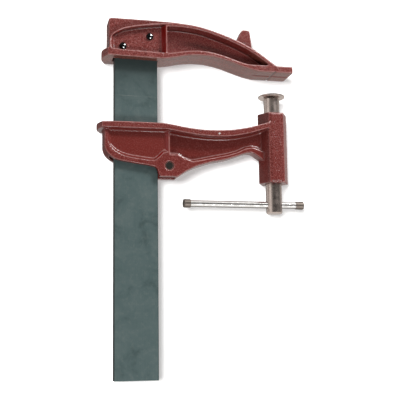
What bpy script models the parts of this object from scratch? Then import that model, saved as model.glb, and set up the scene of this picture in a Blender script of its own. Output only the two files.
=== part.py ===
"""A heavy F clamp: a flat bar, a riveted fixed arm, a sliding arm on a grip shoe, and a spindle with a tommy bar.

The origin is the centre of the bar's lower end. +Z runs up the bar to the fixed arm, +X from the bar to the
spindle, and Y through the thickness of the bar. Outlines below are (x, z) pairs in millimetres.
"""

import math

import bmesh
import bpy
import numpy as np

MM = 0.001

# Bar
BAR_WIDTH = 50.0
BAR_THICKNESS = 12.0
BAR_LENGTH = 400.5
BAR_EDGE_ROUND = 0.6

# Clearances
FIT_GAP = 0.3
SLOT_HALF_THICKNESS = BAR_THICKNESS / 2 + 0.4

# Fixed arm
FIXED_HALF_DEPTH = 18.2
FIXED_END_X = 188.0
FIXED_REAR_X = -39.6
FIXED_PLATE_HALF_DEPTH = 11.0
FIXED_WEB_HALF_DEPTH = 4.5
ANVIL_BOTTOM_Z = 356.3
ANVIL_TOP_Z = 364.3
GROOVE_HALF_WIDTH = 1.5
GROOVE_DEPTH = 1.2
RIVET_PLACES = {"fixed_arm_rivet_lower": (-15.8, 379.4), "fixed_arm_rivet_upper": (15.5, 392.6)}
RIVET_SHANK_RADIUS = 3.0
RIVET_HEAD_RADIUS = 4.2
RIVET_HEAD_HEIGHT = 3.0

# Sliding arm
SLIDING_HALF_DEPTH = 16.4
SLIDING_REAR_X = -44.8
SLIDING_LUG_HALF_DEPTH = 12.4
SLIDING_BELLY_HALF_DEPTH = 7.7
SLIDING_WALL_HALF_DEPTH = 9.4
SLIDING_WEB_HALF_DEPTH = 4.0
SHOE_PIN_X, SHOE_PIN_Z = 37.4, 240.4
SHOE_PIN_RADIUS = 4.9
SHOE_PIN_HALF_LENGTH = 11.6

# Spindle
SPINDLE_X = 165.4
BOSS_SIDE = 18.0
PANEL_HALF_WIDTH, PANEL_HEIGHT = 5.8, 0.8
PANEL_BOTTOM_Z, PANEL_TOP_Z = 226.5, 306.0
BOSS_BOTTOM_Z, BOSS_TOP_Z = 224.0, 308.0
NUT_BOTTOM_Z, NUT_TOP_Z = 250.0, 280.0
SPINDLE_RADIUS = 9.5
THREAD_RADIUS = 8.2
SPINDLE_BOTTOM_Z, SPINDLE_TOP_Z = 188.5, 327.7
SCREW_TRAVEL = 16.0
BALL_Z = 320.0
BALL_RADIUS = 4.6
STUD_RADIUS = 2.8
SOCKET_RADIUS = 5.6

# Pressure plate
PLATE_RADIUS = 16.0
PLATE_BOTTOM_Z, PLATE_TOP_Z = 328.9, 331.3

# Tommy bar
TOMMY_Z = 199.0
TOMMY_RADIUS = 4.1
TOMMY_LEFT_X, TOMMY_RIGHT_X = 55.4, 201.6
LEFT_CAP_LENGTH, LEFT_CAP_RADIUS = 8.4, 5.1
RIGHT_CAP_LENGTH, RIGHT_CAP_RADIUS = 9.8, 4.9

ROUND_SEGMENTS = 40


def clear_scene():
    for obj in list(bpy.data.objects):
        bpy.data.objects.remove(obj)


def material(name, colour, roughness, metallic):
    """A Principled material."""
    made = bpy.data.materials.new(name)
    made.use_nodes = True
    shader = made.node_tree.nodes["Principled BSDF"]
    shader.inputs["Base Color"].default_value = (*colour, 1.0)
    shader.inputs["Roughness"].default_value = roughness
    shader.inputs["Metallic"].default_value = metallic
    return made


def add_object(name, bm):
    """A linked object holding the bmesh, faces out, with round stretches shaded smooth."""
    bmesh.ops.recalc_face_normals(bm, faces=bm.faces[:])
    mesh = bpy.data.meshes.new(name)
    bm.to_mesh(mesh)
    bm.free()
    mesh.shade_smooth()
    mesh.set_sharp_from_angle(angle=math.radians(35))
    obj = bpy.data.objects.new(name, mesh)
    bpy.context.scene.collection.objects.link(obj)
    return obj


def smooth_through(points, steps=5):
    """A Catmull-Rom curve through the points, with the given number of steps between each two."""
    points = [np.array(p, float) for p in points]
    ends = [2 * points[0] - points[1]] + points + [2 * points[-1] - points[-2]]
    curve = []
    for a, b, c, d in zip(ends, ends[1:], ends[2:], ends[3:]):
        for i in range(steps):
            t = i / steps
            curve.append(
                0.5 * (2 * b + (c - a) * t + (2 * a - 5 * b + 4 * c - d) * t**2 + (3 * b - a - 3 * c + d) * t**3)
            )
    curve.append(points[-1])
    return [tuple(p) for p in curve]


def loft(name, rings):
    """A closed body through rings that have the same number of (x, y, z) points, capped at both ends."""
    bm = bmesh.new()
    loops = [[bm.verts.new([c * MM for c in point]) for point in ring] for ring in rings]
    count = len(loops[0])
    for low, high in zip(loops, loops[1:]):
        for i in range(count):
            j = (i + 1) % count
            bm.faces.new((low[i], low[j], high[j], high[i]))
    bm.faces.new(loops[0])
    bm.faces.new(loops[-1])
    return add_object(name, bm)


def side_prism(name, outline, half_depth, middle_y=0.0):
    """An (x, z) outline carried through Y."""
    return loft(name, [[(x, middle_y + y, z) for x, z in outline] for y in (-half_depth, half_depth)])


def plan_prism(name, outline, bottom, top):
    """An (x, y) outline carried from one height to another."""
    return loft(name, [[(x, y, z) for x, y in outline] for z in (bottom, top)])


def turned(name, profile, along="Z", segments=ROUND_SEGMENTS):
    """A round body from (radius, distance) pairs along an axis, closed on the axis at both ends.

    It is made at the world origin and placed by its location.
    """
    bm = bmesh.new()
    rings = []
    for radius, distance in profile:
        ring = []
        for i in range(segments):
            angle = 2 * math.pi * i / segments
            a, b = radius * math.cos(angle), radius * math.sin(angle)
            place = {"X": (distance, a, b), "Y": (b, distance, a), "Z": (a, b, distance)}[along]
            ring.append(bm.verts.new([c * MM for c in place]))
        rings.append(ring)
    for low, high in zip(rings, rings[1:]):
        for i in range(segments):
            j = (i + 1) % segments
            bm.faces.new((low[i], low[j], high[j], high[i]))
    bm.faces.new(rings[0])
    bm.faces.new(rings[-1])
    return add_object(name, bm)


def place(obj, x, y, z):
    obj.location = (x * MM, y * MM, z * MM)
    return obj


def boolean(target, other, operation):
    """A Boolean that hides its second shape from the render."""
    modifier = target.modifiers.new(f"{operation.lower()} {other.name}", "BOOLEAN")
    modifier.operation = operation
    modifier.solver = "EXACT"
    modifier.object = other
    other.hide_render = True
    other.display_type = "WIRE"


def cut(target, *cutters):
    for cutter in cutters:
        boolean(target, cutter, "DIFFERENCE")


def join(target, *others):
    for other in others:
        boolean(target, other, "UNION")


def cross_hole(name, radius, x, z, half_length=30.0):
    """A round cutter through Y."""
    return place(turned(name, [(radius, -half_length), (radius, half_length)], "Y", 32), x, 0, z)


def height_at(curve, x):
    """The height of a curve that runs from left to right, at x."""
    xs, zs = zip(*curve)
    return float(np.interp(x, xs, zs))


def pocket(name, low, high, side, layers, samples=16, narrowest=1.6):
    """A cutter for a cored pocket between two curves, on one side of the web.

    Each layer has a distance from the middle of the web, a left and a right end, and its distances from the low
    and the high curve. A layer stops short where the two curves close up.
    """
    spread = [0.5 - 0.5 * math.cos(math.pi * i / samples) for i in range(samples + 1)]
    rings = []
    for y, left, right, over, under in layers:
        while height_at(high, right) - height_at(low, right) < over + under + narrowest:
            right -= 0.5
        across = [left + (right - left) * s for s in spread]
        below = [(x, side * y, height_at(low, x) + over) for x in across]
        above = [(x, side * y, height_at(high, x) - under) for x in reversed(across)]
        rings.append(below + above)
    return loft(name, rings)


def both_sides(target, name, low, high, layers):
    """The same pocket from the front and from the back."""
    for label, side in (("front", -1), ("back", 1)):
        cut(target, pocket(f"{name}_{label}", low, high, side, layers))


def rounded_plan(rear_x, rear_corner_x, end_x, half_depth, corner=3.0, steps=6):
    """A plan with a bowed rear end and two rounded corners at the other end."""
    bow = [(rear_corner_x, half_depth), (rear_x + 1.2, half_depth / 2), (rear_x, 0.0)]
    bow += [(x, -y) for x, y in reversed(bow[:-1])]
    outline = smooth_through(bow, 4)
    for side in (-1, 1):
        for i in range(steps + 1):
            angle = math.pi / 2 * (i / steps if side > 0 else i / steps - 1)
            along = end_x - corner + corner * math.cos(angle)
            outline.append((along, side * (half_depth - corner) + corner * math.sin(angle)))
    return outline


def bar():
    """The flat bar, with its edges eased and two rivet holes at the top."""
    half_width, half_thickness = BAR_WIDTH / 2, BAR_THICKNESS / 2
    corners = [(-half_width, -half_thickness), (half_width, -half_thickness)]
    corners += [(half_width, half_thickness), (-half_width, half_thickness)]
    obj = plan_prism("bar", corners, 0.0, BAR_LENGTH)
    ease = obj.modifiers.new("eased edges", "BEVEL")
    ease.width = BAR_EDGE_ROUND * MM
    ease.segments = 2
    for name, (x, z) in RIVET_PLACES.items():
        cut(obj, cross_hole(f"bar_hole_{name}", RIVET_SHANK_RADIUS + FIT_GAP, x, z))
    return obj


def fixed_arm_outlines():
    """The underside, the top flange and the lower edge of the web, each from left to right."""
    sweep = [(22, 364.8), (34, 365.6), (45, 367.6), (57, 370.2), (72, 371.7), (89, 371.0), (106, 367.4)]
    sweep += [(121, 362.6), (134, 358.6), (146, ANVIL_BOTTOM_Z)]
    underside = [(-42, 366.0)] + smooth_through(sweep, 3) + [(190, ANVIL_BOTTOM_Z)]
    crown = [(-32.5, 384), (-29.2, 391), (-22.3, 396.4), (-12, 400.8), (8, 405.1), (27, 407.7), (48, 409.0)]
    crown += [(73, 406.8), (98, 400.2), (119, 392.8), (136, 385.2), (151, 375.8), (167.5, ANVIL_TOP_Z)]
    top = smooth_through(crown, 3)
    ledge = [(33, 371.8), (44, 373.4), (56, 375.6), (72, 377.4), (89, 376), (104, 372.6), (115, 369)]
    ledge += [(125, 365.9), (133, 364)]
    lower_edge = smooth_through(ledge, 3) + [(170, ANVIL_TOP_Z + 0.1)]
    return underside, top, lower_edge


def fixed_arm():
    """The fixed arm: an I-section casting with a thick plate round the bar, an anvil, and a horn on top."""
    underside, top, lower_edge = fixed_arm_outlines()
    body = underside + [(190, ANVIL_TOP_Z)] + top[::-1] + [(-32.5, 374.6), (-42, 374.6)]
    obj = side_prism("fixed_arm", body, FIXED_HALF_DEPTH)
    front, plate, web = FIXED_HALF_DEPTH, FIXED_PLATE_HALF_DEPTH, FIXED_WEB_HALF_DEPTH
    inner_low = [(-31, 374.4), (-18, 373.3), (34, 372.0)]
    inner_top = [(-31.5, 383.0)] + [(x, z - 1.9) for x, z in top if -30 < x < 36]
    layers = [(front + 2, -30.2, 33.9, 0.0, 0.0), (front, -30.1, 33.4, 0.0, 0.0)]
    layers += [(plate + 3.0, -28.6, 31.2, 0.2, 0.3), (plate + 0.8, -27.5, 29.8, 1.0, 0.5)]
    layers.append((plate - 0.1, -27.1, 29.2, 2.6, 0.9))
    both_sides(obj, "bar_pocket", inner_low, inner_top, layers)
    web_top = [(x, z - 4.4 - 0.02 * max(0.0, x - 90)) for x, z in top if x > 30]
    layers = [(front + 2, 34.9, 160.0, 0.0, 0.0), (web + 2.4, 35.3, 159.8, 0.25, 0.25)]
    layers += [(web + 0.7, 36.1, 159.0, 1.0, 0.6), (web, 37.6, 157.4, 2.6, 1.5)]
    both_sides(obj, "web_pocket", lower_edge, web_top, layers)
    cheek = [(-32.5, 372), (33.5, 372), (33.5, 405.8), (48, 406.6), (64, 405.8), (82, 402.6), (82, 403.6)]
    cheek += smooth_through([(72, 407.8), (60, 410.9), (48, 412.2), (34, 412.7), (0, 412.9), (-29.6, 412.9)], 3)
    cheek += [(-31.8, 412.0), (-32.5, 410.2)]
    horn = [(119.2, 391.0), (130, 387.6), (141.6, 382.2)]
    horn += [(138.8, 408.2), (137.2, 410.5), (130, 410.9), (128.0, 409.2)]
    join(obj, side_prism("fixed_arm_plate", cheek, plate))
    join(obj, side_prism("fixed_arm_horn", horn, 6.0))
    plan = rounded_plan(FIXED_REAR_X, -34.4, FIXED_END_X, FIXED_HALF_DEPTH)
    boolean(obj, plan_prism("fixed_arm_plan", plan, 340, 430), "INTERSECT")
    slot = [(-26.2, 340), (BAR_WIDTH / 2 + FIT_GAP, 340)]
    slot += [(BAR_WIDTH / 2 + FIT_GAP, BAR_LENGTH + 1), (-26.2, BAR_LENGTH + 1)]
    cut(obj, side_prism("fixed_arm_slot", slot, SLOT_HALF_THICKNESS))
    for name, (x, z) in RIVET_PLACES.items():
        cut(obj, cross_hole(f"arm_hole_{name}", RIVET_SHANK_RADIUS + FIT_GAP, x, z))
    cut(obj, *anvil_grooves())
    return obj


def anvil_grooves():
    """Two crossed V grooves in the anvil's face."""
    tip, mouth = ANVIL_BOTTOM_Z + GROOVE_DEPTH, ANVIL_BOTTOM_Z - 1.0
    half_mouth = GROOVE_HALF_WIDTH * (GROOVE_DEPTH + 1.0) / GROOVE_DEPTH
    along = [[(x, -half_mouth, mouth), (x, half_mouth, mouth), (x, 0, tip)] for x in (140, 195)]
    middle = SPINDLE_X
    across = [[(middle - half_mouth, y, mouth), (middle + half_mouth, y, mouth), (middle, y, tip)] for y in (-25, 25)]
    return loft("anvil_groove_along", along), loft("anvil_groove_across", across)


def rivet(name, x, z):
    """A solid rivet with a domed head on each side of the plate."""
    seat = FIXED_PLATE_HALF_DEPTH + FIT_GAP
    arc = [math.pi / 2 * i / 6 for i in range(7)]
    dome = [(RIVET_HEAD_RADIUS * math.cos(a), seat + RIVET_HEAD_HEIGHT * math.sin(a)) for a in arc[:-1]]
    half = [(RIVET_SHANK_RADIUS, seat)] + dome
    profile = [(r, -y) for r, y in reversed(half)] + half
    return place(turned(name, profile, "Y", 28), x, 0, z)


def flange_curves():
    """The upper and the lower line of the sliding arm's top flange, each from left to right."""
    crest = [(30, 289.3), (40, 288.2), (58.6, 285.2), (83.4, 283.3), (108.6, 284.4), (129.3, 287.9), (142.8, 291.5)]
    upper = [(-48, 288.4), (-14, 289.5)] + smooth_through(crest + [(157, 295.7)], 3) + [(160, 296.4)]
    roof = [(37, 281.8), (58.6, 278.3), (83.4, 276.0), (108.6, 276.7), (129.3, 280.4), (142.8, 284.4), (157, 289.1)]
    lower = [(-48, 281.6), (34, 282.2)] + smooth_through(roof, 3) + [(160, 290.2)]
    return upper, lower


def sliding_arm_lower_outline(flange_underside):
    """The outline of everything under the flange but the boss: the web, the belly, the lug and the rim."""
    belly = [(152, 250.6), (149.1, 252.7), (145.2, 255.6), (141, 258.4), (137, 259.8), (129.6, 259.0), (117.3, 254.6)]
    belly += [(105.2, 250.8), (89.5, 247.6), (81.1, 245.1), (69.5, 241.1), (57.7, 235.0), (48.9, 229.0)]
    lug = [(47.2, 227.8), (26.7, 227.6), (25.5, 229.2), (23.2, 236.6), (21.4, 238.6)]
    rim = [(17.1, 239.5), (9.8, 240.7), (-1.6, 242.2), (-11.2, 243.6), (-19.7, 245.1), (-25.8, 247.2), (-30.8, 250.6)]
    rim += [(-35.0, 255.4), (-37.4, 262.5)]
    roof = [(x, z + 3.0) for x, z in flange_underside if x > 0]
    outline = [(-37.9, 284.6)] + roof + [(160, 250.6)] + smooth_through(belly, 3) + lug
    return outline + smooth_through(rim, 3) + [(-37.9, 269.0)]


def sliding_arm_pockets(target, flange_underside):
    """The pocket beside the bar and the pocket in the arm's web, with a thin rib between them."""
    front, lug, belly = SLIDING_HALF_DEPTH, SLIDING_LUG_HALF_DEPTH, SLIDING_BELLY_HALF_DEPTH
    wall, web = SLIDING_WALL_HALF_DEPTH, SLIDING_WEB_HALF_DEPTH
    low = [(-34.0, 272), (-33.3, 267.9), (-32.2, 264.2), (-30, 260.4), (-25.3, 255.7), (-18.6, 251.7), (-11.2, 249.2)]
    low += [(-1.6, 247.6), (9.9, 246.2), (19.5, 245.2)]
    low = smooth_through(low, 3) + [(23.1, 247.0), (30.9, 255.4), (38, 255.8)]
    layers = [(front + 2, -33.9, 36.9, 0.0, 0.0), (lug, -33.9, 36.8, 0.0, 0.3), (wall + 1.7, -32.2, 35.1, 1.6, 0.9)]
    layers += [(wall + 0.5, -30.4, 33.5, 3.1, 1.7), (wall, -29.3, 32.7, 4.3, 2.7)]
    both_sides(target, "sliding_bar_pocket", low, flange_underside, layers)
    ledge = [(37, 253.4), (48.6, 253.5), (52, 252.2), (56.7, 248.4), (63.7, 246.2), (73.2, 247.9), (89.5, 251.8)]
    ledge += [(105.2, 254.8), (119.8, 259.3), (129.7, 264.2), (137.1, 265.7), (144.4, 264.4), (149.3, 262)]
    ledge.append((156, 258))
    layers = [(front + 2, 37.9, 156.0, 0.0, 0.0), (belly, 38.1, 155.8, 0.2, 0.3), (web + 1.5, 38.4, 155.0, 1.2, 0.8)]
    layers += [(web + 0.4, 39.0, 154.2, 2.5, 1.6), (web, 40.0, 153.4, 3.8, 2.6)]
    both_sides(target, "sliding_web_pocket", smooth_through(ledge, 3), flange_underside, layers)


def lower_plan():
    """The plan of everything under the flange: deep at the rim and the lug, thin along the belly."""
    lug, belly = SLIDING_LUG_HALF_DEPTH, SLIDING_BELLY_HALF_DEPTH
    side = [(-36.9, lug), (60, lug), (76, 10.6), (92, 8.4), (105, belly), (160, belly)]
    return [(-37.7, -5.0), (-37.7, 5.0)] + side + [(x, -y) for x, y in reversed(side)]


def boss():
    """The hexagonal boss, with a flat facing the front and a slightly raised plain panel on the front and back."""
    corners = [math.radians(60 * i) for i in range(6)]
    hexagon = [(SPINDLE_X + BOSS_SIDE * math.cos(a), BOSS_SIDE * math.sin(a)) for a in corners]
    left, right = SPINDLE_X - PANEL_HALF_WIDTH, SPINDLE_X + PANEL_HALF_WIDTH
    panel = [(left, PANEL_BOTTOM_Z), (right, PANEL_BOTTOM_Z), (right, PANEL_TOP_Z), (left, PANEL_TOP_Z)]
    flat = BOSS_SIDE * math.cos(math.radians(30))
    return (
        plan_prism("sliding_arm_boss", hexagon, BOSS_BOTTOM_Z, BOSS_TOP_Z),
        side_prism("boss_panel", panel, flat + PANEL_HEIGHT),
    )


def boss_bore():
    """Two guide bores with a narrower threaded length between them."""
    guide, nut = SPINDLE_RADIUS + 0.25, THREAD_RADIUS + 0.25
    profile = [(guide, BOSS_BOTTOM_Z - 5), (guide, NUT_BOTTOM_Z), (nut, NUT_BOTTOM_Z + 1)]
    profile += [(nut, NUT_TOP_Z - 1), (guide, NUT_TOP_Z), (guide, BOSS_TOP_Z + 5)]
    return place(turned("boss_bore", profile), SPINDLE_X, 0, 0)


def sliding_arm():
    """The sliding arm: an I-section casting with a slot for the bar, a lug for the grip shoe, and a boss."""
    upper, lower = flange_curves()
    obj = side_prism("sliding_arm", upper + lower[::-1], SLIDING_HALF_DEPTH)
    body = side_prism("sliding_arm_body", sliding_arm_lower_outline(lower), SLIDING_HALF_DEPTH)
    boolean(body, plan_prism("sliding_arm_body_plan", lower_plan(), 200, 330), "INTERSECT")
    join(obj, body)
    sliding_arm_pockets(obj, lower)
    join(obj, *boss())
    plan = rounded_plan(SLIDING_REAR_X, -40.3, SPINDLE_X + BOSS_SIDE + 4, SLIDING_HALF_DEPTH, corner=1.0)
    boolean(obj, plan_prism("sliding_arm_plan", plan, 200, 330), "INTERSECT")
    slot = [(-31.6, 236), (-26.5, 296), (26.5, 296), (26.5, 220), (-31.6, 220)]
    cut(obj, side_prism("sliding_arm_slot", slot, SLOT_HALF_THICKNESS))
    shoe_room = [(20, 220), (46, 220), (46, 248), (42.6, 251.6), (20, 251.6)]
    cut(obj, side_prism("shoe_room", shoe_room, SLOT_HALF_THICKNESS))
    cut(obj, cross_hole("shoe_pin_hole", SHOE_PIN_RADIUS + 0.2, SHOE_PIN_X, SHOE_PIN_Z))
    cut(obj, boss_bore())
    return obj


def grip_shoe():
    """The hardened shoe that bites the bar's front edge, with teeth across it and a bore for its pin."""
    teeth, pitch, face = [], 1.8, BAR_WIDTH / 2 + 0.8
    for i in range(9):
        z = SHOE_PIN_Z + 8.1 - i * pitch
        teeth += [(face, z), (face + 0.8, z - pitch / 2)]
    arc = [math.radians(-90 + 180 * i / 10) for i in range(11)]
    back = [(SHOE_PIN_X - 2 + 8 * math.cos(a), SHOE_PIN_Z + 8.8 * math.sin(a)) for a in arc]
    outline = teeth + [(face, SHOE_PIN_Z - 8.1)] + back
    obj = side_prism("grip_shoe", outline, BAR_THICKNESS / 2 - 0.2)
    cut(obj, cross_hole("shoe_bore", SHOE_PIN_RADIUS + 0.2, SHOE_PIN_X, SHOE_PIN_Z))
    return obj


def grip_shoe_pin():
    """The pin through the lug, with chamfered ends set back from its faces."""
    chamfer = 0.6
    ends = [(SHOE_PIN_RADIUS - chamfer, SHOE_PIN_HALF_LENGTH), (SHOE_PIN_RADIUS, SHOE_PIN_HALF_LENGTH - chamfer)]
    profile = [(r, -y) for r, y in ends] + [(r, y) for r, y in reversed(ends)]
    return place(turned("grip_shoe_pin", profile, "Y", 32), SHOE_PIN_X, 0, SHOE_PIN_Z)


def spindle():
    """The spindle: smooth guide ends, a threaded middle inside the boss, and a socket for the plate's ball."""
    lower_end = NUT_BOTTOM_Z - SCREW_TRAVEL - 1
    upper_start = NUT_TOP_Z + SCREW_TRAVEL + 1
    profile = [(SPINDLE_RADIUS - 1.2, SPINDLE_BOTTOM_Z), (SPINDLE_RADIUS, SPINDLE_BOTTOM_Z + 1.2)]
    profile += [(SPINDLE_RADIUS, lower_end - 1), (THREAD_RADIUS, lower_end), (THREAD_RADIUS, upper_start)]
    profile += [(SPINDLE_RADIUS, upper_start + 1), (SPINDLE_RADIUS, SPINDLE_TOP_Z - 0.5)]
    profile.append((SPINDLE_RADIUS - 0.5, SPINDLE_TOP_Z))
    obj = place(turned("spindle", [(r, z - TOMMY_Z) for r, z in profile]), SPINDLE_X, 0, TOMMY_Z)
    mouth = BALL_RADIUS + 0.3
    socket = [(SOCKET_RADIUS, BALL_Z - 6), (SOCKET_RADIUS, BALL_Z + 5.2), (mouth, BALL_Z + 5.4)]
    socket.append((mouth, SPINDLE_TOP_Z + 2))
    cut(obj, place(turned("spindle_socket", socket, segments=28), SPINDLE_X, 0, 0))
    hole = [(TOMMY_RADIUS + 0.25, -20), (TOMMY_RADIUS + 0.25, 20)]
    cut(obj, place(turned("spindle_cross_hole", hole, "X", 32), SPINDLE_X, 0, TOMMY_Z))
    return obj


def pressure_plate():
    """The swivel plate: a thin flat disc on a short stud that ends in a ball."""
    angles = [math.radians(-80 + 135 * i / 8) for i in range(9)]
    ball = [(BALL_RADIUS * math.cos(a), BALL_RADIUS * math.sin(a)) for a in angles]
    under, over = PLATE_BOTTOM_Z - BALL_Z, PLATE_TOP_Z - BALL_Z
    disc = [(STUD_RADIUS, under), (PLATE_RADIUS - 0.6, under), (PLATE_RADIUS, under + 0.6)]
    disc += [(PLATE_RADIUS, over - 0.5), (PLATE_RADIUS - 0.5, over)]
    return place(turned("pressure_plate", ball + disc), SPINDLE_X, 0, BALL_Z)


def plate_retaining_ring():
    """The spring ring under the socket's lip, which keeps the ball in."""
    sections, segments = 10, 36
    middle_radius, wire = 4.55, 0.7
    height = BALL_Z + 4.3
    bm = bmesh.new()
    loops = []
    for i in range(segments):
        a = 2 * math.pi * i / segments
        loop = []
        for k in range(sections):
            b = 2 * math.pi * k / sections
            r = middle_radius + wire * math.cos(b)
            loop.append(bm.verts.new([r * math.cos(a) * MM, r * math.sin(a) * MM, wire * math.sin(b) * MM]))
        loops.append(loop)
    for i in range(segments):
        a, b = loops[i], loops[(i + 1) % segments]
        for k in range(sections):
            m = (k + 1) % sections
            bm.faces.new((a[k], a[m], b[m], b[k]))
    return place(add_object("plate_retaining_ring", bm), SPINDLE_X, 0, height)


def tommy_bar():
    """The sliding handle rod."""
    left = TOMMY_LEFT_X + LEFT_CAP_LENGTH - 6 - SPINDLE_X
    right = TOMMY_RIGHT_X - RIGHT_CAP_LENGTH + 6 - SPINDLE_X
    profile = [(TOMMY_RADIUS - 0.5, left), (TOMMY_RADIUS, left + 0.5)]
    profile += [(TOMMY_RADIUS, right - 0.5), (TOMMY_RADIUS - 0.5, right)]
    return place(turned("tommy_bar", profile, "X", 28), SPINDLE_X, 0, TOMMY_Z)


def tommy_cap(name, mouth_x, side, length, radius, small_radius):
    """A stop collar over one end of the rod: a blind turned cap whose closed end has a rounded rim."""
    bore = TOMMY_RADIUS + FIT_GAP
    rim = 1.3
    arc = [math.radians(90 * i / 4) for i in range(5)]
    crown = [(radius - rim + rim * math.cos(a), length - rim + rim * math.sin(a)) for a in arc]
    shell = [(small_radius, 0.0)] + crown
    inside = [(bore, 6 + FIT_GAP), (bore, 0.0)]
    profile = inside + shell
    profile = [(r, side * x) for r, x in profile]
    return place(turned(name, profile, "X", 28), mouth_x, 0, TOMMY_Z)


def tommy_caps():
    left_mouth = TOMMY_LEFT_X + LEFT_CAP_LENGTH
    right_mouth = TOMMY_RIGHT_X - RIGHT_CAP_LENGTH
    left = tommy_cap("tommy_bar_left_cap", left_mouth, -1, LEFT_CAP_LENGTH, LEFT_CAP_RADIUS, 5.0)
    right = tommy_cap("tommy_bar_right_cap", right_mouth, 1, RIGHT_CAP_LENGTH, RIGHT_CAP_RADIUS, 4.6)
    return left, right


def main():
    clear_scene()
    red = material("red_enamel", (0.19, 0.035, 0.032), 0.38, 0.0)
    bar_steel = material("bar_steel", (0.085, 0.105, 0.103), 0.45, 0.7)
    plated = material("plated_steel", (0.56, 0.52, 0.49), 0.25, 1.0)
    bright = material("bright_chrome", (0.8, 0.8, 0.8), 0.08, 1.0)
    dull = material("dull_steel", (0.22, 0.17, 0.15), 0.5, 0.9)
    black = material("black_oxide", (0.012, 0.012, 0.012), 0.2, 0.5)
    made = [(bar(), bar_steel), (fixed_arm(), red), (sliding_arm(), red)]
    made += [(rivet(name, x, z), black) for name, (x, z) in RIVET_PLACES.items()]
    made += [(grip_shoe(), dull), (grip_shoe_pin(), black), (spindle(), plated), (pressure_plate(), plated)]
    made += [(plate_retaining_ring(), dull), (tommy_bar(), bright)]
    made += [(cap, dull) for cap in tommy_caps()]
    for obj, look in made:
        obj.data.materials.append(look)


main()
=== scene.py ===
"""The looks of a heavy F clamp: red cast arms, a drawn steel bar, and a plated spindle with a tommy bar.

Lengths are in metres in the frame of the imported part: +Z runs up the bar to the fixed arm, +X from the
bar to the spindle, and Y through the bar. The clamp lies on a pale table, which stands upright here,
just behind it.
"""

import math

import bmesh
import bpy
from mathutils import Matrix, Vector, noise


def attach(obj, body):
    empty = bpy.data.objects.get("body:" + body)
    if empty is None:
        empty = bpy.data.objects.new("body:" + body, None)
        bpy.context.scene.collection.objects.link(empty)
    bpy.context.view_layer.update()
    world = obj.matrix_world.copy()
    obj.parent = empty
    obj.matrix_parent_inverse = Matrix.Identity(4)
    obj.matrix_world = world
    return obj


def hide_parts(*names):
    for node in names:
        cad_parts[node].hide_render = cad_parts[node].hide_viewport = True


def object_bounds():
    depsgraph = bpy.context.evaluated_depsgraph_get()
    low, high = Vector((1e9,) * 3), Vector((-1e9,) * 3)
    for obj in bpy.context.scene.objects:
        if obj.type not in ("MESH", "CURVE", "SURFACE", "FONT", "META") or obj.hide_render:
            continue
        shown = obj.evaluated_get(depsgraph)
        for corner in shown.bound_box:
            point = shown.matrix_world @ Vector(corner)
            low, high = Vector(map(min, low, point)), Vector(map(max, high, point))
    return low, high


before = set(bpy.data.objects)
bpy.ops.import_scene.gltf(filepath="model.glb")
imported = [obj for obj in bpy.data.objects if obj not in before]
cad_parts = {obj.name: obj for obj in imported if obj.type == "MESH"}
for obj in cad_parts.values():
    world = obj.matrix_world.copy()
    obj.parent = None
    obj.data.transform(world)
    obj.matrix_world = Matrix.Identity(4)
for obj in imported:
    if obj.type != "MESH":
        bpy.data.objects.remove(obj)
size_at_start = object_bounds()

MM = 0.001

# Camera: where it is, how it is turned (degrees) and its lens, all rounded from a fit to the photo's view
CAMERA_PLACE = (-0.1442, -0.9335, 0.0579)
CAMERA_PAN, CAMERA_TILT, CAMERA_ROLL = -13.24, 8.62, 0.78
CAMERA_LENS = 75.3

RIVETS = ("fixed_arm_rivet_lower", "fixed_arm_rivet_upper")

# Castings: the mesh's step, the rounding of its edges, and the height of its uneven skin with the features
# per metre of its coarse and fine swells
VOXEL = 0.8 * MM
ROUNDING_STEPS = 2
ROUNDING_SHARE = 0.5
SAND_HEIGHT = 0.06 * MM
COARSE_SWELLS, FINE_SWELLS = 90.0, 320.0

# Enamel: how far from the casting's middle plane it starts to turn chalky, is chalky, and is fully grainy,
# and the share of both that is left nearer to the plane, where the deeper red is partly painted shade
CHALKY_FROM, CHALKY_AT, GRAINY_AT = 9.5 * MM, 12.5 * MM, 16.4 * MM
INNER_SHARE = 0.35

# The fixed arm (the head) has a look of its own, grainier and lightened with painted light: the heights where
# it fades in, the heights where the brown painted shade on its bottom fades out, and how near to the middle
# plane the floor of its pockets is, which gets the most painted light
HEAD_HEIGHTS = (330.0 * MM, 342.0 * MM)
HEAD_BOTTOM_HEIGHTS = (383.0 * MM, 377.0 * MM)
HEAD_FLOOR_DEPTHS = (5.7 * MM, 5.1 * MM)

# Upright ribs near this X get painted shade, a deep red, on their left walls. Left walls past the rear X
# shine less
RIB_X = 30.0 * MM
RIB_REACH = (10.0 * MM, 8.0 * MM)
REAR_X = (-28.0 * MM, -36.0 * MM)
REAR_SHEEN_LOSS = 0.32

# Gentle slopes that get a pale painted highlight: the upward part of their normal, and how far from it they
# still count
SLOPE_UP = 0.35
SLOPE_REACH = (0.2, 0.05)

# A chip in the enamel of the sliding arm's top edge
CHIP_PLACE = (96.0 * MM, -16.4 * MM, 279.4 * MM)
CHIP_RADIUS = 1.2 * MM

# The grip shoe's pin: its middle, and the radius from which its end faces are still smeared with enamel
PIN_PLACE = (37.4 * MM, 0.0, 240.4 * MM)
PIN_RIM_RADIUS = 4.2 * MM
PIN_RIM_BLUR = 0.3 * MM

# The bar: the heights over which painted shade darkens it under the fixed arm, where its edges start to, and
# a scratch across it below the fixed arm (its height at the bar's middle, its slope along X and the half
# width over which it fades)
BAR_DARKENING = (300.0 * MM, 372.0 * MM)
BAR_EDGE_X = (23.9 * MM, 24.8 * MM)
SCRATCH_HEIGHT = 322.0 * MM
SCRATCH_SLOPE = 0.02
SCRATCH_HALF_WIDTH = (0.7 * MM, 0.2 * MM)

# Table, and the sun that only it sees
TABLE_GAP = 0.6 * MM
TABLE_SIZE = 3.0
TABLE_GLOW = 0.34
TABLE_SUN = 5.4
SUN_DIRECTION = (0.50, 1.0, -0.14)
SUN_WIDTH = 26.0

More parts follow.
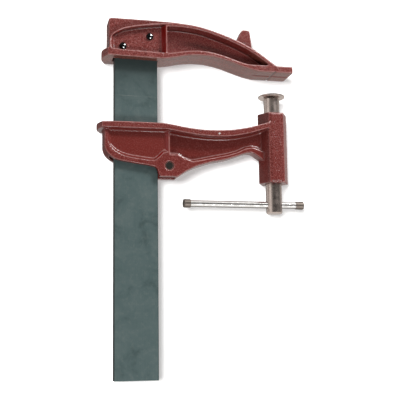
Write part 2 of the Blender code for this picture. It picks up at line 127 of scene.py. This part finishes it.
# Softboxes: the direction from the clamp's middle, the size and the power of each. The rivets have their
# own, larger and stronger ones
LAMP_DISTANCE = 2.0
LAMPS = {
    "right_lamp": ((0.524, -0.484, 0.703), 0.45, 34.0),
    "low_lamp": ((0.257, -0.713, -0.641), 0.4, 16.0),
}
RIVET_LAMP_SIZE = 1.6
RIVET_GLINT = 24.0

# Tent: a grey for each direction. Behind the clamp it goes from one grey to another along X, with a dim
# strip round one X, and its floor is light
BACK_LEFT_GREY, BACK_RIGHT_GREY, BACK_LOW_GREY = 0.60, 0.50, 0.80
BACK_BLEND_X = (0.1, 0.7)
BACK_DIM_X, BACK_DIM_SHARE = -0.25, 0.2
BACK_DIM_REACH = (0.12, 0.3)
BACK_LOW_Z = (-0.15, -0.4)

# In front it is bright far to the left, high up and low down, and dark to the right
FRONT_LEFT_GREY, FRONT_MIDDLE_GREY, FRONT_RIGHT_GREY = 0.95, 0.30, 0.12
FRONT_HIGH_GREY = 0.75
FRONT_BLEND_X = (-0.3, 0.2)
FRONT_LEFT_X = (-0.76, -0.84)
FRONT_HIGH_Z = (0.3, 0.55)
FRONT_TO_BACK_Y = (-0.25, 0.05)

# The dark room behind the camera, the tent's warm tint, and the plain white that the camera sees in its place
ROOM_GREY = 0.04
ROOM_HALF_ANGLES = (22.0, 36.0)
TENT_TINT = (1.0, 0.972, 0.94)
SEEN_TINT = (1.0, 1.0, 1.0)
SEEN_GREY = 0.9


def link(obj):
    bpy.context.scene.collection.objects.link(obj)
    return obj


def bake(obj):
    """Replaces an object's mesh with its evaluated one and drops its modifiers."""
    graph = bpy.context.evaluated_depsgraph_get()
    mesh = bpy.data.meshes.new_from_object(obj.evaluated_get(graph))
    obj.modifiers.clear()
    obj.data = mesh
    return obj


def welded_copy(node, name):
    """A new object with a CAD node's shape, its split edges joined again."""
    bm = bmesh.new()
    bm.from_mesh(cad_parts[node].data)
    bmesh.ops.remove_doubles(bm, verts=bm.verts[:], dist=0.001 * MM)
    mesh = bpy.data.meshes.new(name)
    bm.to_mesh(mesh)
    bm.free()
    return link(bpy.data.objects.new(name, mesh))


# ---------------------------------------------------------------- wiring


class Wiring:
    """Short ways to add nodes to a material's or a world's node tree."""

    def __init__(self, tree):
        self.tree = tree

    def put(self, socket, value):
        if isinstance(value, bpy.types.NodeSocket):
            self.tree.links.new(value, socket)
        elif isinstance(value, tuple) and len(value) == 3 and socket.type == "RGBA":
            socket.default_value = (*value, 1.0)
        else:
            socket.default_value = value

    def node(self, kind, inputs, **settings):
        made = self.tree.nodes.new(kind)
        for key, value in settings.items():
            setattr(made, key, value)
        for socket, value in inputs.items():
            self.put(made.inputs[socket], value)
        return made

    def rescale(self, value, low, high, to_low=0.0, to_high=1.0):
        inputs = {"Value": value, "From Min": low, "From Max": high, "To Min": to_low, "To Max": to_high}
        return self.node("ShaderNodeMapRange", inputs, interpolation_type="SMOOTHSTEP").outputs["Result"]

    def math(self, operation, a, b=0.0):
        return self.node("ShaderNodeMath", {0: a, 1: b}, operation=operation).outputs[0]

    def product(self, first, *others):
        """Two or more values multiplied together."""
        for other in others:
            first = self.math("MULTIPLY", first, other)
        return first

    def apart(self, a, b):
        """How far two values are apart."""
        return self.math("ABSOLUTE", self.math("SUBTRACT", a, b))

    def vectors(self, operation, a, b=(0.0, 0.0, 0.0)):
        """The outputs of a vector operation: the vector first, and then the value."""
        return self.node("ShaderNodeVectorMath", {0: a, 1: b}, operation=operation).outputs

    def mix(self, factor, a, b):
        """Colour a where factor is 0 and colour b where it is 1."""
        return self.node("ShaderNodeMix", {0: factor, 6: a, 7: b}, data_type="RGBA").outputs[2]

    def blend(self, factor, a, b):
        """Number a where factor is 0 and number b where it is 1."""
        return self.node("ShaderNodeMix", {0: factor, 2: a, 3: b}).outputs[0]


class Look(Wiring):
    """A Principled material, with procedural textures and masks to wire into it."""

    def __init__(self, name, **values):
        self.material = bpy.data.materials.new(name)
        self.material.use_nodes = True
        super().__init__(self.material.node_tree)
        self.shader = self.tree.nodes["Principled BSDF"]
        self.place = self.tree.nodes.new("ShaderNodeTexCoord").outputs["Object"]
        for socket, value in values.items():
            self.set(socket.replace("_", " "), value)

    def set(self, socket, value):
        self.put(self.shader.inputs[socket], value)

    def noise(self, scale, detail=2.0, roughness=0.5, stretch=(1.0, 1.0, 1.0), distortion=0.0):
        """Noise from 0 to 1. scale is in features per metre, and stretch multiplies the coordinates first."""
        inputs = {"Vector": self.vectors("MULTIPLY", self.place, stretch)[0], "Scale": scale}
        inputs |= {"Detail": detail, "Roughness": roughness, "Distortion": distortion}
        return self.node("ShaderNodeTexNoise", inputs).outputs["Fac"]

    def axis(self, name):
        """One coordinate of the surface point, in metres."""
        return self.node("ShaderNodeSeparateXYZ", {0: self.place}).outputs[name]

    def facing(self, name):
        """One coordinate of the surface's normal, from -1 to 1."""
        normal = self.node("ShaderNodeNewGeometry", {}).outputs["Normal"]
        return self.node("ShaderNodeSeparateXYZ", {0: normal}).outputs[name]

    def spot(self, centre, radius):
        """1 inside a small ragged spot round a point, and 0 outside it."""
        ragged = self.rescale(self.noise(900.0), 0.3, 0.7, -0.3 * radius, 0.3 * radius)
        from_centre = self.math("ADD", self.vectors("DISTANCE", self.place, centre)["Value"], ragged)
        return self.rescale(from_centre, radius, 0.8 * radius)

    def edges(self, low, high):
        """From 0 to 1 as pointiness goes from low to high. It is 0.5 on flat places and more on ridges."""
        pointiness = self.node("ShaderNodeNewGeometry", {}).outputs["Pointiness"]
        return self.rescale(pointiness, low, high)

    def bump(self, height, distance, strength=1.0, under=None):
        inputs = {"Height": height, "Distance": distance, "Strength": strength}
        if under is not None:
            inputs["Normal"] = under
        return self.node("ShaderNodeBump", inputs).outputs["Normal"]


# ---------------------------------------------------------------- materials


def enamel_coat(look, off_middle, head, grainy):
    """The enamel's colour: deep in the pockets, partly as painted shade, chalky on the outer faces, sandy
    where it is grainy, and lighter on the head as painted light.
    """
    head_floor_painted_light, head_painted_light = (0.27, 0.048, 0.042), (0.30, 0.075, 0.068)
    sand_peak, sand_pit = (0.34, 0.120, 0.109), (0.070, 0.009, 0.007)
    cloudy = look.noise(45.0, detail=4.0, roughness=0.6)
    sand = look.noise(850.0, detail=3.0, roughness=0.7)
    # deep, in the pockets, is partly painted shade and red bounce
    deep = look.mix(cloudy, (0.140, 0.0165, 0.0120), (0.172, 0.0225, 0.0180))
    chalky = look.mix(cloudy, (0.150, 0.0225, 0.0190), (0.178, 0.0310, 0.0270))
    # Painted light: the fixed arm's pocket floors get a much lighter red, in place of the light its flanges
    # shade off
    head_floor = look.product(head, look.rescale(off_middle, *HEAD_FLOOR_DEPTHS))
    outer = look.rescale(off_middle, CHALKY_FROM, CHALKY_AT, INNER_SHARE, 1.0)
    base = look.mix(outer, look.mix(head_floor, deep, head_floor_painted_light), chalky)
    # Painted light: the whole fixed arm is lightened a little
    base = look.mix(look.product(head, 0.2), base, head_painted_light)
    base = look.mix(look.product(look.rescale(sand, 0.50, 0.68), grainy), base, sand_peak)
    return look.mix(look.product(look.rescale(sand, 0.50, 0.32), grainy), base, sand_pit)


def enamel_wear_and_highlights(look, base, head):
    """Pale patches: wear and painted highlight on ridges and hollows, painted highlight on slopes below the
    head.
    """
    pale_edge_wear_and_highlight, painted_slope_highlight = (0.46, 0.22, 0.205), (0.50, 0.26, 0.245)
    # Pale lines along ridges and hollows: partly wear, partly painted highlight
    pale = look.math("MAXIMUM", look.edges(0.511, 0.538), look.product(look.edges(0.488, 0.462), 0.8))
    sideways = look.math("ABSOLUTE", look.facing("X"))
    patches = look.rescale(look.noise(220.0), 0.3, 0.6, 0.5, 1.0)
    patchy = look.product(patches, look.rescale(sideways, 0.15, 0.5, 1.0, 0.25))
    base = look.mix(look.product(pale, patchy, 0.75), base, pale_edge_wear_and_highlight)
    # Painted highlight on gentle slopes whose normal points a little upwards
    slopes = look.rescale(look.apart(look.facing("Z"), SLOPE_UP), *SLOPE_REACH)
    slopes = look.product(slopes, look.math("SUBTRACT", 1.0, head))
    return look.mix(look.product(slopes, patchy, 0.55), base, painted_slope_highlight)


def enamel_painted_shade(look, base, head, left_wall):
    """Painted shade: deep red on the ribs' left walls, on undersides, and in the grooves under the head."""
    painted_wall_shade, painted_head_underside_shade = (0.22, 0.004, 0.002), (0.10, 0.035, 0.018)
    painted_underside_shade, painted_groove_shade = (0.11, 0.007, 0.004), (0.055, 0.010, 0.008)
    near_rib = look.rescale(look.apart(look.axis("X"), RIB_X), *RIB_REACH)
    # Painted shade: deep red on the left walls of the ribs, which face away from the lamps
    base = look.mix(look.product(left_wall, near_rib), base, painted_wall_shade)
    underside = look.rescale(look.facing("Z"), -0.3, -0.7)
    head_bottom = look.product(head, look.rescale(look.axis("Z"), *HEAD_BOTTOM_HEIGHTS))
    # Painted shade: brown on the fixed arm's undersides near its bottom
    base = look.mix(look.product(underside, head_bottom, 0.5), base, painted_head_underside_shade)
    elsewhere = look.math("SUBTRACT", 1.0, head_bottom)
    # Painted shade: dark red on all other undersides
    base = look.mix(look.product(underside, elsewhere, 0.75), base, painted_underside_shade)
    # Painted shade: dark red in the grooves under the fixed arm
    return look.mix(look.product(underside, look.edges(0.4995, 0.485), head, 0.8), base, painted_groove_shade)


def red_enamel():
    """Dark red enamel over a sand-cast skin."""
    look = Look("red_enamel", Metallic=0.0, IOR=1.5)
    off_middle = look.math("ABSOLUTE", look.axis("Y"))
    head = look.rescale(look.axis("Z"), *HEAD_HEIGHTS)
    left_wall = look.rescale(look.facing("X"), -0.3, -0.6)
    off_floor = look.rescale(off_middle, CHALKY_FROM, GRAINY_AT, INNER_SHARE, 1.0)
    grainy = look.math("MAXIMUM", off_floor, look.product(head, 0.9))
    base = enamel_coat(look, off_middle, head, grainy)
    base = enamel_wear_and_highlights(look, base, head)
    base = enamel_painted_shade(look, base, head, left_wall)
    bare_metal = (0.55, 0.50, 0.48)
    look.set("Base Color", look.mix(look.spot(CHIP_PLACE, CHIP_RADIUS), base, bare_metal))
    look.set("Roughness", look.rescale(look.noise(400.0), 0.3, 0.7, 0.14, 0.24))
    rear = look.product(left_wall, look.rescale(look.axis("X"), *REAR_X))
    look.set("Specular IOR Level", look.math("SUBTRACT", 0.5, look.product(rear, REAR_SHEEN_LOSS)))
    grain = look.bump(look.noise(520.0, detail=3.0, roughness=0.65), 0.5 * MM, grainy)
    look.set("Normal", look.bump(look.noise(130.0), 0.6 * MM, 0.3, grain))
    return look.material


def bar_steel():
    """Cold-drawn bar: satin grey-green, with fine lines, stains, a scratch, darkened edges and painted shade
    at its top.
    """
    dark_stain, pale_stain = (0.042, 0.068, 0.068), (0.110, 0.146, 0.142)
    rubbed, scratched = (0.125, 0.158, 0.152), (0.16, 0.19, 0.185)
    painted_shade_under_head, edge_dark = (0.030, 0.050, 0.050), (0.018, 0.026, 0.026)
    look = Look("bar_steel", Metallic=0.15, IOR=1.5)
    lines = look.noise(1600.0, roughness=0.6, stretch=(1.0, 1.0, 0.012))
    stains = look.noise(42.0, detail=5.0, roughness=0.68, distortion=0.6)
    mottle = look.noise(260.0, detail=3.0, roughness=0.6)
    base = look.mix(lines, (0.066, 0.106, 0.107), (0.084, 0.126, 0.126))
    base = look.mix(look.product(look.rescale(stains, 0.45, 0.75), 0.6), base, pale_stain)
    base = look.mix(look.product(look.rescale(stains, 0.48, 0.28), 0.6), base, dark_stain)
    base = look.mix(look.product(look.rescale(mottle, 0.5, 0.72), 0.35), base, rubbed)
    # Painted shade: darker towards the top of the bar, under the fixed arm
    high = look.rescale(look.axis("Z"), *BAR_DARKENING)
    base = look.mix(look.product(high, 0.8), base, painted_shade_under_head)
    slanted = look.math("ADD", look.axis("Z"), look.product(look.axis("X"), SCRATCH_SLOPE))
    to_the_left = look.rescale(look.axis("X"), 8.0 * MM, -8.0 * MM, 0.3, 1.0)
    scratch = look.rescale(look.apart(slanted, SCRATCH_HEIGHT), *SCRATCH_HALF_WIDTH)
    scratch = look.product(scratch, to_the_left, look.rescale(mottle, 0.3, 0.6, 0.1, 0.5))
    base = look.mix(scratch, base, scratched)
    edge = look.rescale(look.math("ABSOLUTE", look.axis("X")), *BAR_EDGE_X)
    look.set("Base Color", look.mix(look.product(edge, 0.75), base, edge_dark))
    look.set("Roughness", look.rescale(stains, 0.3, 0.7, 0.40, 0.55))
    look.set("Normal", look.bump(lines, 0.02 * MM, 0.4, look.bump(stains, 0.05 * MM, 0.3)))
    return look.material


def plated_steel():
    """Plated spindle and plate, with fine turned rings and faint handling stains."""
    look = Look("plated_steel", Metallic=1.0)
    rings = look.noise(900.0, detail=3.0, roughness=0.7, stretch=(0.02, 0.02, 1.0))
    stains = look.noise(120.0, detail=4.0, roughness=0.6)
    base = look.mix(rings, (0.52, 0.435, 0.39), (0.74, 0.635, 0.59))
    look.set("Base Color", look.mix(look.rescale(stains, 0.48, 0.72, 0.0, 0.5), base, (0.38, 0.30, 0.26)))
    look.set("Roughness", look.rescale(stains, 0.3, 0.7, 0.20, 0.34))
    look.set("Normal", look.bump(rings, 0.03 * MM, 0.5))
    return look.material


def bright_chrome():
    """Polished rod, with fine lines round it, a few dull spots and a painted dark reflection along its
    underside.
    """
    look = Look("bright_chrome", Metallic=1.0)
    rings = look.noise(1500.0, roughness=0.6, stretch=(1.0, 0.03, 0.03))
    spots = look.noise(260.0, detail=3.0, roughness=0.6)
    base = look.mix(look.rescale(spots, 0.6, 0.8, 0.0, 0.5), (0.95, 0.94, 0.93), (0.70, 0.67, 0.65))
    # Painted reflection: a dark line along the rod's underside
    painted_dark_underside = look.rescale(look.facing("Z"), -0.72, -0.90, 0.0, 0.9)
    look.set("Base Color", look.mix(painted_dark_underside, base, (0.07, 0.06, 0.055)))
    look.set("Roughness", look.rescale(spots, 0.4, 0.75, 0.12, 0.22))
    look.set("Normal", look.bump(rings, 0.006 * MM, 0.2))
    return look.material


def dull_steel():
    """Tarnished turned steel."""
    look = Look("dull_steel", Metallic=0.9)
    mottle = look.noise(500.0, detail=4.0, roughness=0.65)
    look.set("Base Color", look.mix(mottle, (0.09, 0.075, 0.065), (0.24, 0.205, 0.18)))
    look.set("Roughness", look.rescale(mottle, 0.3, 0.7, 0.36, 0.55))
    look.set("Normal", look.bump(mottle, 0.06 * MM, 0.5))
    return look.material


def black_rivet():
    """Gloss black over a slightly uneven peened dome."""
    look = Look("black_rivet", Metallic=0.0, IOR=1.27)
    dents = look.noise(420.0)
    look.set("Base Color", look.mix(dents, (0.00002, 0.00002, 0.00002), (0.0002, 0.0002, 0.0002)))
    look.set("Roughness", look.rescale(dents, 0.3, 0.7, 0.08, 0.16))
    look.set("Normal", look.bump(dents, 0.05 * MM, 0.2))
    return look.material


def dark_pin():
    """Dark oxide on the pin, with a broken ring of enamel smeared over the rim of its end faces."""
    look = Look("dark_pin", Metallic=0.3)
    mottle = look.noise(700.0, detail=3.0, roughness=0.6)
    base = look.mix(mottle, (0.008, 0.007, 0.005), (0.024, 0.021, 0.015))
    from_middle = look.vectors("SUBTRACT", look.place, PIN_PLACE)[0]
    without_y = look.vectors("MULTIPLY", from_middle, (1.0, 0.0, 1.0))[0]
    radius = look.vectors("LENGTH", without_y)["Value"]
    rim = look.rescale(radius, PIN_RIM_RADIUS - PIN_RIM_BLUR, PIN_RIM_RADIUS + PIN_RIM_BLUR)
    look.set("Base Color", look.mix(look.product(rim, mottle), base, (0.62, 0.30, 0.27)))
    look.set("Roughness", look.rescale(mottle, 0.3, 0.7, 0.34, 0.5))
    look.set("Normal", look.bump(mottle, 0.05 * MM, 0.5))
    return look.material


def pale_table():
    """White paper that glows a little, and is clear from behind."""
    white = (1.0, 1.0, 1.0)
    look = Look("pale_table", Roughness=0.9, Emission_Color=white, Emission_Strength=TABLE_GLOW)
    grain = look.noise(60.0, detail=3.0)
    look.set("Base Color", look.mix(grain, (0.68, 0.68, 0.68), (0.72, 0.72, 0.72)))
    facing_away = look.node("ShaderNodeNewGeometry", {}).outputs["Backfacing"]
    clear = look.node("ShaderNodeBsdfTransparent", {})
    shaders = {1: look.shader.outputs[0], 2: clear.outputs[0]}
    either = look.node("ShaderNodeMixShader", {0: facing_away} | shaders)
    look.put(look.tree.nodes["Material Output"].inputs["Surface"], either.outputs[0])
    return look.material


# ---------------------------------------------------------------- castings


def roughen(obj, height):
    """Moves a casting's vertices a little along their normals, as sand leaves them."""
    mesh = obj.data
    for vertex, normal in zip(mesh.vertices, [Vector(n.vector) for n in mesh.vertex_normals]):
        swell = noise.noise(vertex.co * COARSE_SWELLS) + 0.5 * noise.noise(vertex.co * FINE_SWELLS)
        vertex.co += normal * (height * swell)
    mesh.update()


def casting(node, body):
    """A cast piece in place of its CAD node: every edge rounded and every face slightly uneven."""
    obj = welded_copy(node, f"{node}_casting")
    remesh = obj.modifiers.new("even skin", "REMESH")
    remesh.mode = "VOXEL"
    remesh.voxel_size = VOXEL
    rounding = obj.modifiers.new("rounded edges", "SMOOTH")
    rounding.factor = ROUNDING_SHARE
    rounding.iterations = ROUNDING_STEPS
    bake(obj)
    roughen(obj, SAND_HEIGHT)
    obj.data.shade_smooth()
    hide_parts(node)
    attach(obj, body)
    return obj


# ---------------------------------------------------------------- stage


def turned_along(direction):
    """The rotation that points a light along a direction."""
    return Vector(direction).to_track_quat("-Z", "Y").to_euler()


def middle_of_clamp():
    lowest, highest = size_at_start
    return (lowest + highest) / 2


def lamp(name, direction, size, power, linked, unblocked=False):
    """A square softbox in a direction from the clamp's middle, and a collection of what it lights.

    Where it is unblocked, only the pieces it lights can shade it.
    """
    light = bpy.data.lights.new(name, "AREA")
    light.size = size
    light.energy = power
    obj = link(bpy.data.objects.new(name, light))
    obj.location = middle_of_clamp() + Vector(direction).normalized() * LAMP_DISTANCE
    obj.rotation_euler = turned_along(middle_of_clamp() - obj.location)
    obj.light_linking.receiver_collection = linked
    if unblocked:
        obj.light_linking.blocker_collection = linked
    return obj


def table():
    """The pale table behind the clamp. Only the camera sees it, and only from the front."""
    middle = middle_of_clamp()
    behind = size_at_start[1].y + TABLE_GAP
    half = TABLE_SIZE / 2
    bm = bmesh.new()
    corners = [(-half, -half), (half, -half), (half, half), (-half, half)]
    bm.faces.new([bm.verts.new((middle.x + x, behind, middle.z + z)) for x, z in corners])
    mesh = bpy.data.meshes.new("table")
    bm.to_mesh(mesh)
    bm.free()
    mesh.materials.append(pale_table())
    obj = link(bpy.data.objects.new("table", mesh))
    obj.visible_diffuse = obj.visible_glossy = obj.visible_transmission = obj.visible_shadow = False
    return obj


def table_sun(receiver):
    """A soft sun that lights only the table, so that the clamp's shadow falls down and to the right."""
    light = bpy.data.lights.new("table_sun", "SUN")
    light.energy = TABLE_SUN
    light.angle = math.radians(SUN_WIDTH)
    obj = link(bpy.data.objects.new("table_sun", light))
    obj.rotation_euler = turned_along(SUN_DIRECTION)
    lit = bpy.data.collections.new("lit by the table sun")
    lit.objects.link(receiver)
    obj.light_linking.receiver_collection = lit


def cloth_greys(wires, towards):
    """The tent's grey in each direction: a light back with a dim strip, and a front darker to the right."""
    x, y, z = wires.node("ShaderNodeSeparateXYZ", {0: towards}).outputs
    sides = wires.rescale(x, *BACK_BLEND_X, BACK_LEFT_GREY, BACK_RIGHT_GREY)
    dimmed = wires.rescale(wires.apart(x, BACK_DIM_X), *BACK_DIM_REACH, BACK_DIM_SHARE, 1.0)
    back = wires.blend(wires.rescale(z, *BACK_LOW_Z), wires.product(sides, dimmed), BACK_LOW_GREY)
    front = wires.rescale(x, *FRONT_BLEND_X, FRONT_MIDDLE_GREY, FRONT_RIGHT_GREY)
    front = wires.blend(wires.rescale(x, *FRONT_LEFT_X), front, FRONT_LEFT_GREY)
    high_or_low = wires.rescale(wires.math("ABSOLUTE", z), *FRONT_HIGH_Z)
    front = wires.blend(high_or_low, front, FRONT_HIGH_GREY)
    return wires.blend(wires.rescale(y, *FRONT_TO_BACK_Y), front, back)


def tent():
    """A tent all round, in greys that the clamp mirrors, with a dark room past the camera's opening."""
    opening = (Vector(CAMERA_PLACE) - middle_of_clamp()).normalized()
    made = bpy.data.worlds.new("tent")
    made.use_nodes = True
    wires = Wiring(made.node_tree)
    towards = wires.node("ShaderNodeTexCoord", {}).outputs["Generated"]
    inner, outer = (math.cos(math.radians(angle)) for angle in ROOM_HALF_ANGLES)
    in_opening = wires.rescale(wires.vectors("DOT_PRODUCT", towards, opening)["Value"], outer, inner)
    grey = wires.blend(in_opening, cloth_greys(wires, towards), ROOM_GREY)
    seen = wires.node("ShaderNodeLightPath", {}).outputs["Is Camera Ray"]
    background = made.node_tree.nodes["Background"]
    wires.put(background.inputs["Strength"], wires.blend(seen, grey, SEEN_GREY))
    wires.put(background.inputs["Color"], wires.mix(seen, TENT_TINT, SEEN_TINT))
    bpy.context.scene.world = made


def lamps(table_top):
    """The strong lamp from the upper right and the weaker one from below, and more of both on the rivets."""
    clamp = bpy.data.collections.new("lit by the lamps")
    clamp.objects.link(table_top)
    clamp.collection_objects[0].light_linking.link_state = "EXCLUDE"
    rivets = bpy.data.collections.new("lit by the rivet lamps")
    for name in RIVETS:
        rivets.objects.link(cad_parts[name])
    for name, (direction, size, power) in LAMPS.items():
        lamp(name, direction, size, power, clamp)
        rivet_size, rivet_power = RIVET_LAMP_SIZE * size, RIVET_GLINT * power
        lamp(f"rivet_{name}", direction, rivet_size, rivet_power, rivets, unblocked=True)


def camera():
    data = bpy.data.cameras.new("camera")
    data.lens = CAMERA_LENS
    obj = link(bpy.data.objects.new("camera", data))
    turns = ((CAMERA_PAN, "Z"), (90.0 + CAMERA_TILT, "X"))
    pan, tilt = (Matrix.Rotation(math.radians(angle), 4, axis) for angle, axis in turns)
    roll = Matrix.Rotation(math.radians(-CAMERA_ROLL), 4, "Z")
    obj.matrix_world = Matrix.Translation(CAMERA_PLACE) @ pan @ tilt @ roll
    bpy.context.scene.camera = obj


def dress(looks):
    """Gives each CAD node that stays in view its own material."""
    for node, material in looks.items():
        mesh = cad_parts[node].data
        mesh.materials.clear()
        mesh.materials.append(material)


def main():
    enamel, rivet_black, plated, dull = red_enamel(), black_rivet(), plated_steel(), dull_steel()
    for node, body in (("fixed_arm", "bar_assembly"), ("sliding_arm", "arm")):
        casting(node, body).data.materials.append(enamel)
    looks = {"bar": bar_steel(), "grip_shoe_pin": dark_pin(), "tommy_bar": bright_chrome()}
    looks |= {name: rivet_black for name in RIVETS}
    looks |= {"spindle": plated, "pressure_plate": plated, "plate_retaining_ring": dull, "grip_shoe": dull}
    looks |= {"tommy_bar_left_cap": dull, "tommy_bar_right_cap": dull}
    dress(looks)
    table_top = table()
    table_sun(table_top)
    tent()
    lamps(table_top)
    camera()
    bpy.context.scene.view_settings.view_transform = "Standard"


main()
